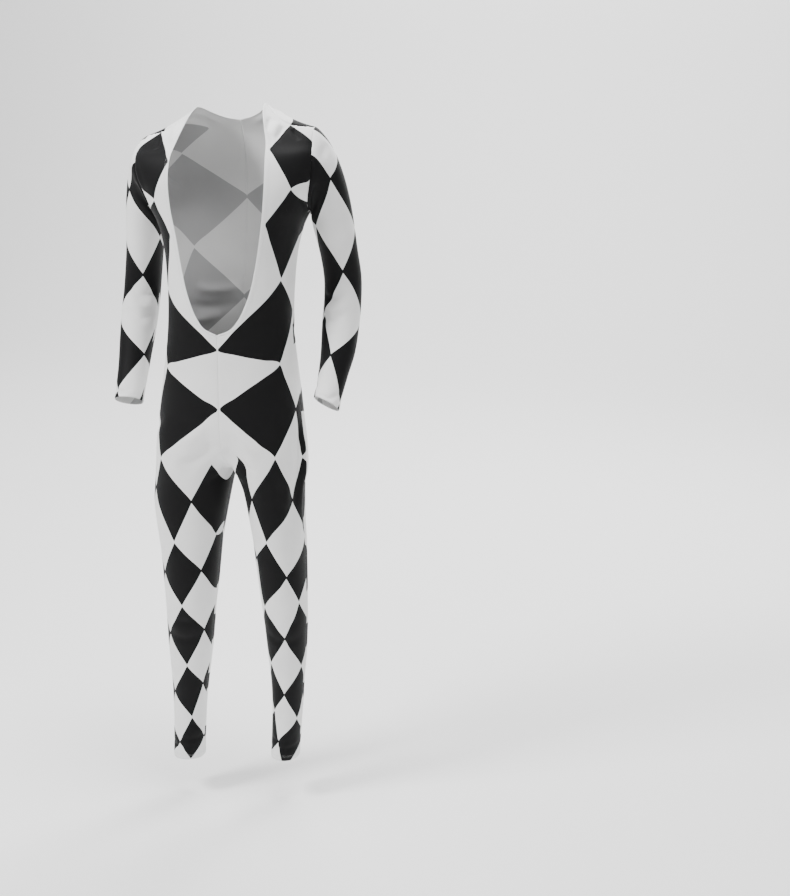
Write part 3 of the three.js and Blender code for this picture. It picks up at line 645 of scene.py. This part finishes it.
def lozenge_field(chart, spots, places, settle=None):
    """The print's column and row at any places: the smoothest bend that keeps a lozenge's edges straight."""
    marks, known = [], []
    for (one, place), (other, beyond) in [(a, b) for a in zip(chart, spots) for b in zip(chart, spots)]:
        aside, below = abs(other[0] - one[0]), other[1] - one[1]
        is_edge = max(abs(aside - HALF_STEP), abs(below - HALF_STEP)) < EDGE_TOLERANCE
        for t in EDGE_PARTS if is_edge else ():
            between = place + t * (beyond - place)
            known.append(settle(between) if settle else between)
            marks.append(np.array(one[:2]) + t * np.subtract(other[:2], one[:2]))
    known = np.array([*spots, *known])
    marks = np.array([mark[:2] for mark in (*chart, *marks)])

    def pull(at):
        gap = np.sum(at ** 2, -1)[..., None] + np.sum(known ** 2, -1) - 2 * at @ known.T
        gap = np.maximum(gap, LEAST_GAP)
        return gap * np.log(gap)

    count, size = len(known), known.shape[1]
    flat = np.c_[np.ones(count), known]
    whole = np.block([[pull(known), flat], [flat.T, np.zeros((size + 1, size + 1))]])
    weights = np.linalg.solve(whole, np.r_[marks, np.zeros((size + 1, 2))])
    return pull(places) @ weights[:count] + weights[count] + places @ weights[count + 1:]


# Creases: share across and height at the start, middle and end, half width, and lift in crease depths
FRONT_CREASES = {
    "left": [
        (0.16, -4, 0.10, -16, 0.07, -34, 6, -2.2), (0.30, -2, 0.22, -14, 0.15, -38, 7, 1.6),
        (0.40, -3, 0.30, -20, 0.20, -52, 6, -1.8), (0.53, -4, 0.58, -14, 0.66, -40, 6, -1.6),
        (0.86, -140, 0.90, -165, 0.93, -192, 7, 1.4), (0.66, -168, 0.78, -184, 0.92, -196, 6, -1.5),
        (0.05, -700, 0.22, -735, 0.42, -752, 13, -2.6), (0.04, -735, 0.16, -762, 0.36, -785, 10, -2.0),
        (0.10, -650, 0.20, -690, 0.36, -712, 12, 1.4), (0.90, -650, 0.89, -730, 0.86, -830, 8, -2.6),
        (0.97, -640, 0.955, -730, 0.93, -840, 9, 1.8), (0.80, -690, 0.78, -760, 0.74, -830, 9, 1.3),
        (0.30, -1085, 0.52, -1098, 0.80, -1090, 9, -1.1), (0.22, -1120, 0.5, -1138, 0.86, -1128, 10, -1.2),
        (0.10, -1376, 0.4, -1384, 0.8, -1377, 5, -1.4), (0.25, -1392, 0.6, -1400, 0.97, -1391, 4.5, -1.3),
        (0.04, -1402, 0.22, -1408, 0.5, -1405, 4, -1.0)],
    "right": [
        (0.10, -4, 0.07, -16, 0.05, -36, 6, -1.8), (0.24, -2, 0.17, -18, 0.11, -48, 7, 1.3),
        (0.50, -6, 0.44, -26, 0.36, -60, 7, -1.4), (0.98, -100, 0.86, -140, 0.70, -178, 9, 1.4),
        (0.99, -170, 0.84, -196, 0.64, -214, 8, -1.6), (0.05, -690, 0.24, -728, 0.46, -742, 13, -2.4),
        (0.03, -728, 0.15, -758, 0.33, -790, 10, -2.2), (0.08, -640, 0.2, -682, 0.38, -700, 12, 1.3),
        (0.62, -640, 0.76, -668, 0.95, -680, 12, -1.3), (0.2, -1090, 0.48, -1104, 0.8, -1096, 9, -1.1),
        (0.12, -1128, 0.44, -1146, 0.76, -1136, 10, -1.2), (0.05, -1384, 0.34, -1392, 0.72, -1386, 5, -1.3),
        (0.3, -1404, 0.62, -1410, 0.95, -1402, 4.5, -1.2), (0.03, -1352, 0.2, -1360, 0.42, -1354, 5, -1.1)]}
# The largest folds, in millimetres: start, end, half width and lift, the same as the solids carry
LARGE_FOLDS = [
    ((30, -80, -690), (75, -84, -758), 18, -3), ((-18, -80, -695), (-70, -86, -752), 18, -3),
    ((150, -40, -690), (148, -44, -880), 14, -3), ((163, -12, -700), (158, -16, -870), 14, 3),
    ((40, 100, -775), (140, 90, -790), 20, -4), ((-40, 100, -780), (-140, 90, -795), 20, -4)]


def large_fold_lift(points):
    """The largest folds together. Each is straight, and as deep at its ends as in its middle."""
    lift = 0
    for start, end, width, rise in LARGE_FOLDS:
        start, way = np.array(start, float), np.subtract(end, start).astype(float)
        s = np.clip(((points - start) @ way) / (way @ way), 0, 1)
        gap = np.linalg.norm(points - start - s[..., None] * way, axis=-1)
        lift = lift + rise * np.exp(-(gap / width) ** 2)
    return lift


def dress_body(side, face, corners, creases, neck_end):
    """One front or back, with its seams, hems and creases. `neck_end` is where its neckline stops."""
    points, height = body_cloth(side, face, ACROSS)
    flip = -SIDES[side] if face == "front" else SIDES[side]
    normals = outward_normals(points, flip)
    over, down = cloth_lengths(points)
    smooth_points = points

    def settle(place):
        """Where a place near the cloth comes down onto it."""
        away = np.sum((smooth_points - place) ** 2, -1)
        nearest = np.unravel_index(np.argmin(away), away.shape)
        return place - normals[nearest] * ((place - smooth_points[nearest]) @ normals[nearest])

    spots = [spot_on(points, ACROSS, height, *corner[2:]) for corner in corners]
    print_places = lozenge_field(corners, spots, points, settle)
    from_side, from_hem = over[:, -1:] - over, down[-1:] - down
    open_edge = (height > neck_end) & (down > 0)
    lift = seam_lift(from_side, down) + seam_lift(down, over, SHOULDER_PUCKER) + hem_lift(from_hem)
    neck_band = hem_lift(over * HEM_WIDTH / NECK_BAND)
    lift = lift + np.where(open_edge, neck_band, seam_lift(over, down, MIDDLE_PUCKER))
    folds = large_fold_lift(points) + creases_lift(points, ACROSS, height, creases)
    free = calm_edges(over, from_side, down, from_hem)
    points = points + normals * (lift + folds * free)[..., None]
    lengths = np.stack([over, down], -1)
    piece = lay_cloth(f"{face}_{side}", points, print_places, lengths, flip > 0)
    hem_rows = [level_line(from_hem, away, points, normals, 0) for away in TWIN_ROWS["hem"]]
    bare = height[:, 0] > neck_end
    neck_rows = [level_line(over[bare], away, points[bare], normals[bare], 1) for away in TWIN_ROWS["neck"]]
    finish_cloth(piece, points, over, down, hem_rows + neck_rows)


for side in SIDES:
    dress_body(side, "front", CORNERS[side], FRONT_CREASES[side], NECKLINE_END)

# Backs
# Each back is one piece of knit from the shoulder seam over the seat to the ankle hem. They are overlocked
# together down the middle, from a low curved nape to the crotch, and printed with the same lozenges.
BACK_CORNERS = [
    (0.25, 0.25, 0.47, 0), (0.75, 0.25, 1.0, 0), (0, 0.5, 0.24, -44), (0.5, 1, 0.55, -96),
    (0, 1.5, 0, -190), (0.88, 1.36, 1.0, -160), (0.9, 1.6, 1.0, -256), (0.5, 2, 0.53, -300),
    (0, 2.5, 0, -402), (0.9, 2.5, 1.0, -468), (0.5, 3, 0.52, -512), (0, 3.5, 0, -612),
    (0.9, 3.5, 1.0, -614), (0.5, 4, 0.53, -716), (0, 4.5, 0.22, -806), (1, 4.5, 0.85, -812),
    (0.5, 5, 0.5, -902), (1.4, 5, 1.0, -905), (-0.5, 5, 0, -906), (0, 5.5, 0.24, -986),
    (1, 5.5, 0.76, -990), (0.5, 6, 0.5, -1062), (0, 6.5, 0.25, -1130), (1, 6.5, 0.75, -1133),
    (0.5, 7, 0.5, -1200), (0, 7.5, 0.22, -1262), (1, 7.5, 0.77, -1265), (0.5, 8, 0.5, -1325),
    (0, 8.5, 0.2, -1382), (1, 8.5, 0.8, -1385), (0.5, 9, 0.5, -1431)]
BACK_CREASES = {
    "left": [
        (0.12, -6, 0.10, -18, 0.06, -40, 7, -1.8), (0.30, -4, 0.24, -20, 0.16, -46, 8, 1.4),
        (0.99, -130, 0.84, -158, 0.66, -172, 9, -1.8), (0.99, -180, 0.8, -206, 0.6, -216, 8, 1.4),
        (0.02, -392, 0.3, -404, 0.62, -396, 11, -1.8), (0.05, -424, 0.36, -440, 0.74, -430, 12, 1.5),
        (0.30, -452, 0.6, -466, 0.96, -456, 11, -1.6), (0.05, -745, 0.2, -772, 0.4, -790, 11, -2.4),
        (0.2, -822, 0.5, -838, 0.82, -826, 12, -1.8), (0.1, -1080, 0.46, -1096, 0.86, -1084, 9, -2.0),
        (0.16, -1104, 0.5, -1118, 0.9, -1108, 9, 1.3), (0.12, -1128, 0.44, -1144, 0.8, -1134, 10, -1.7),
        (0.1, -1382, 0.46, -1392, 0.84, -1384, 5, -1.4), (0.3, -1400, 0.6, -1407, 0.94, -1400, 4.5, -1.2)],
    "right": [
        (0.14, -5, 0.11, -20, 0.07, -44, 7, -1.7), (0.34, -4, 0.27, -24, 0.18, -54, 8, 1.3),
        (0.99, -122, 0.82, -150, 0.62, -168, 9, -1.7), (0.98, -176, 0.8, -200, 0.56, -212, 8, 1.3),
        (0.03, -380, 0.26, -392, 0.54, -386, 11, -1.7), (0.04, -414, 0.34, -428, 0.7, -420, 12, 1.5),
        (0.22, -444, 0.56, -458, 0.97, -450, 11, -1.7), (0.04, -742, 0.2, -770, 0.42, -794, 11, -2.5),
        (0.16, -830, 0.46, -846, 0.78, -832, 12, -1.7), (0.12, -1086, 0.48, -1102, 0.88, -1092, 9, -2.0),
        (0.1, -1112, 0.46, -1126, 0.84, -1114, 9, 1.3), (0.16, -1136, 0.5, -1150, 0.84, -1140, 10, -1.6),
        (0.08, -1388, 0.4, -1398, 0.8, -1390, 5, -1.4), (0.34, -1408, 0.6, -1414, 0.92, -1407, 4.5, -1.2)]}
for side in SIDES:
    dress_body(side, "back", BACK_CORNERS, BACK_CREASES[side], -NAPE_DROP)

# Sleeves
# Each sleeve is one piece of knit, set into the armhole, closed along the underarm and bent at the elbow.
# Its cuff is a turned hem at the wrist.
ARMHOLE_PUCKER = 1.5
# How far out and back the middle of the arm lies at each height, and its radius
ARMS = {
    "right": table(
        "height out middle radius", (-240, 206, 46, 42.5), (-300, 217, 66, 40), (-355, 226, 79, 39.5),
        (-405, 230, 78, 39.5), (-450, 230, 63, 39.5), (-505, 228, 37, 36.5), (-555, 226, 13, 33),
        (-600, 225, -10, 31), (-627, 224, -24, 30.5)),
    "left": table(
        "height out middle radius", (-235, 207, 46, 42.5), (-295, 215, 66, 39.5), (-350, 221, 79, 39.5),
        (-398, 222, 78, 39.5), (-443, 222, 65, 39.5), (-498, 223, 40, 36.5), (-542, 219, 20, 31.5),
        (-581, 215, 1, 28.8), (-607, 213, -14, 28.5))}
# How much the cuff slants, and how late along the arm the slant sets in
CUFF_SLANT, SLANT_POWER = {"right": 0, "left": 9}, 4
# An arm's line is measured from this far above a ring to this far below it
ARM_STEP = 5
# The way in which the cap leaves the armhole, at the underarm and at the shoulder, and how much it fills out
CAP_UNDERARM, CAP_SHOULDER = (0.5, 0.3, -0.85), {"right": (0.92, 0.1, -0.4), "left": (0.84, 0.1, -0.54)}
CAP_FULLNESS = 0.3
# How strongly the cap keeps its way where it leaves the armhole, and the arm's way where it meets the arm
CAP_LEAVING, CAP_ARRIVING = {"underarm": 0.75, "shoulder": 0.7}, {"underarm": 0.8, "shoulder": 1.3}
CAP_RINGS, ARM_RINGS = 6 * FINER, 12 * FINER
# The radius at which the print is laid out round the arm, and the columns that keep it clear of the margin
SLEEVE_RADIUS, SLEEVE_COLUMN = 37, 2
# Corners of the lozenges: the print's column and row, the ring angle in degrees and the height
SLEEVE_CORNERS = {
    "left": [
        (0.28, 0.22, 101, -92), (-0.5, 0, -16, -89), (0, 0.5, 61, -140), (0.5, 1, 130, -239),
        (0.75, 0.75, 156, -226), (0.95, 0.55, 180, -210), (-0.5, 1, -7, -242), (0, 1.5, 72, -333),
        (0.5, 2, 142, -426), (-0.5, 2, -16, -442), (0, 2.5, 97, -505), (0.5, 3, 160, -560),
        (-0.5, 3, 10, -603), (-1, 0.5, -92, -150), (-1, 1.5, -88, -336), (-1, 2.5, -66, -512),
        (-1.5, 1, -160, -238), (-1.5, 2, -158, -430), (-1.5, 3, -140, -590)],
    "right": [
        (0.28, 0.22, 101, -130), (-0.5, 0, -16, -120), (0, 0.5, 58, -178), (0.5, 1, 155, -280),
        (-0.5, 1, -5, -262), (0, 1.5, 108, -362), (0.5, 2, 195, -452), (-0.5, 2, 8, -451),
        (0, 2.5, 144, -529), (0.5, 3, 205, -569), (-0.5, 3, 50, -603), (-1, 0.5, -92, -172),
        (-1, 1.5, -70, -358), (-1, 2.5, -30, -540), (-1.5, 1, -160, -262), (-1.5, 2, -140, -446),
        (-1.5, 3, -110, -610)]}
# Creases: ring angle and height at the start, middle and end, half width, and lift in crease depths
SLEEVE_CREASES = {
    "left": [
        (20, -70, 50, -84, 84, -104, 9, -1.5), (120, -150, 146, -176, 170, -210, 8, -2.0),
        (96, -170, 128, -204, 158, -234, 9, 1.5), (60, -372, 110, -392, 160, -384, 9, -2.2),
        (50, -398, 100, -414, 150, -408, 9, 1.7), (66, -420, 112, -436, 158, -430, 9, -2.0),
        (-30, -330, -70, -344, -112, -338, 10, -1.2), (-40, -452, -84, -466, -130, -458, 9, -1.4),
        (20, -582, 70, -590, 120, -584, 5, -1.5), (-20, -600, -64, -606, -120, -598, 5, -1.3),
        (130, -566, 164, -572, 178, -570, 5, -1.2)],
    "right": [
        (24, -80, 52, -96, 86, -118, 9, -1.4), (118, -160, 146, -190, 170, -222, 8, -2.0),
        (92, -186, 126, -220, 156, -250, 9, 1.5), (58, -388, 108, -408, 162, -398, 9, -2.2),
        (52, -414, 104, -430, 152, -424, 9, 1.7), (64, -438, 110, -454, 160, -446, 9, -2.0),
        (-26, -340, -66, -352, -110, -346, 10, -1.2), (-44, -470, -86, -482, -134, -474, 9, -1.4),
        (16, -596, 66, -604, 118, -597, 5, -1.6), (-24, -612, -70, -618, -124, -611, 5, -1.3),
        (60, -612, 96, -618, 140, -612, 5, -1.4)]}


def arm_ring(arm, height, angle, slant=0.0):
    """Points round an arm at a height, square to the arm's line."""
    def centre(h):
        return np.stack([curve(arm, "out")(h), curve(arm, "middle")(h), h], -1)

    height = np.full(len(angle), height)
    low = np.maximum(height - ARM_STEP, arm["height"][0])
    high = np.minimum(height + ARM_STEP, arm["height"][-1])
    along = unit(centre(low) - centre(high))
    outward = unit(np.array([1.0, 0, 0]) - along * along[..., :1])
    forward = unit(np.cross(along, outward))
    radius = curve(arm, "radius")(height)
    slanted = centre(height) + along * (slant * np.cos(angle))[..., None]
    widened = slanted + outward * (radius * np.cos(angle))[..., None]
    return widened + forward * (radius * np.sin(angle))[..., None]


def sleeve_cloth(side):
    """Rings of a sleeve from the armhole to the cuff. A ring starts and ends at the underarm seam."""
    sign, arm = SIDES[side], ARMS[side]
    biceps, cuff = arm["height"][-1], arm["height"][0]
    front, _ = body_cloth(side, "front", [1.0])
    back, _ = body_cloth(side, "back", [1.0])
    loop = np.concatenate([front[:UNDERARM_ROW + 1, 0], back[1:UNDERARM_ROW, 0][::-1]]) * (sign, 1, 1)
    angles = np.arange(len(loop)) / len(loop) * 2 * math.pi
    upper = (1 + np.cos(angles)) / 2
    end = arm_ring(arm, biceps, angles)
    below = arm_ring(arm, biceps - 2 * ARM_STEP, angles)
    reach = np.linalg.norm(end - loop, axis=-1)

    def pull(ends):
        return ((ends["underarm"] + (ends["shoulder"] - ends["underarm"]) * upper) * reach)[:, None]

    way = np.array(CAP_UNDERARM) + upper[:, None] * np.subtract(CAP_SHOULDER[side], CAP_UNDERARM)
    way[:, 0] += CAP_FULLNESS * upper * np.sin(angles)
    leave, arrive = unit(way) * pull(CAP_LEAVING), unit(below - end) * pull(CAP_ARRIVING)
    rings = [loop]
    for t in np.arange(1, CAP_RINGS + 1) / CAP_RINGS:
        start_part = (1 + 2 * t) * (1 - t) ** 2 * loop + t * (1 - t) ** 2 * leave
        rings.append(start_part + t * t * (3 - 2 * t) * end + t * t * (t - 1) * arrive)
    for t in np.arange(1, ARM_RINGS + 1) / ARM_RINGS:
        slant = CUFF_SLANT[side] * t ** SLANT_POWER
        rings.append(arm_ring(arm, biceps + (cuff - biceps) * t, angles, slant))
    rings = np.stack(rings) * (sign, 1, 1)
    half = len(loop) // 2
    order = np.r_[half:len(loop), :half + 1]
    degrees = np.degrees(np.r_[angles[half:] - 2 * math.pi, angles[:half + 1]])
    return rings[:, order], degrees


for side, sign in SIDES.items():
    points, degrees = sleeve_cloth(side)
    normals = outward_normals(points, sign)
    # The first and last column are one line of the tube, so they share their normals
    shared = unit(normals[:, 0] + normals[:, -1])
    normals[:, 0] = normals[:, -1] = shared
    over, down = cloth_lengths(points)
    around = over[:, -1:]
    from_cuff = down[-1:] - down
    from_seam = np.minimum(over, around - over)
    lift = seam_lift(from_seam, down) + seam_lift(down, over, ARMHOLE_PUCKER) + hem_lift(from_cuff)
    spot_height = points[..., 2]
    folds = creases_lift(points, degrees, spot_height, SLEEVE_CREASES[side])
    free = calm_edges(from_seam, down, from_cuff)
    ring_place = np.radians(np.broadcast_to(degrees, spot_height.shape)) * SLEEVE_RADIUS
    chart = [(column + SLEEVE_COLUMN, row) for column, row, _, _ in SLEEVE_CORNERS[side]]
    spots = [np.array([math.radians(a) * SLEEVE_RADIUS, h]) for _, _, a, h in SLEEVE_CORNERS[side]]
    print_places = lozenge_field(chart, spots, np.stack([ring_place, spot_height], -1))
    points = points + normals * (lift + folds * free)[..., None]
    lengths = np.stack([over, down], -1)
    piece = lay_cloth(f"sleeve_{side}", points, print_places, lengths, sign > 0, tube=True)
    cuff_rows = [level_line(from_cuff, away, points, normals, 0) for away in TWIN_ROWS["hem"]]
    finish_cloth(piece, points, over, down, cuff_rows)

boxes = {"solids": solid_bounds, "pieces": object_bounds()}
{name: [list(corner) for corner in box] for name, box in boxes.items()}
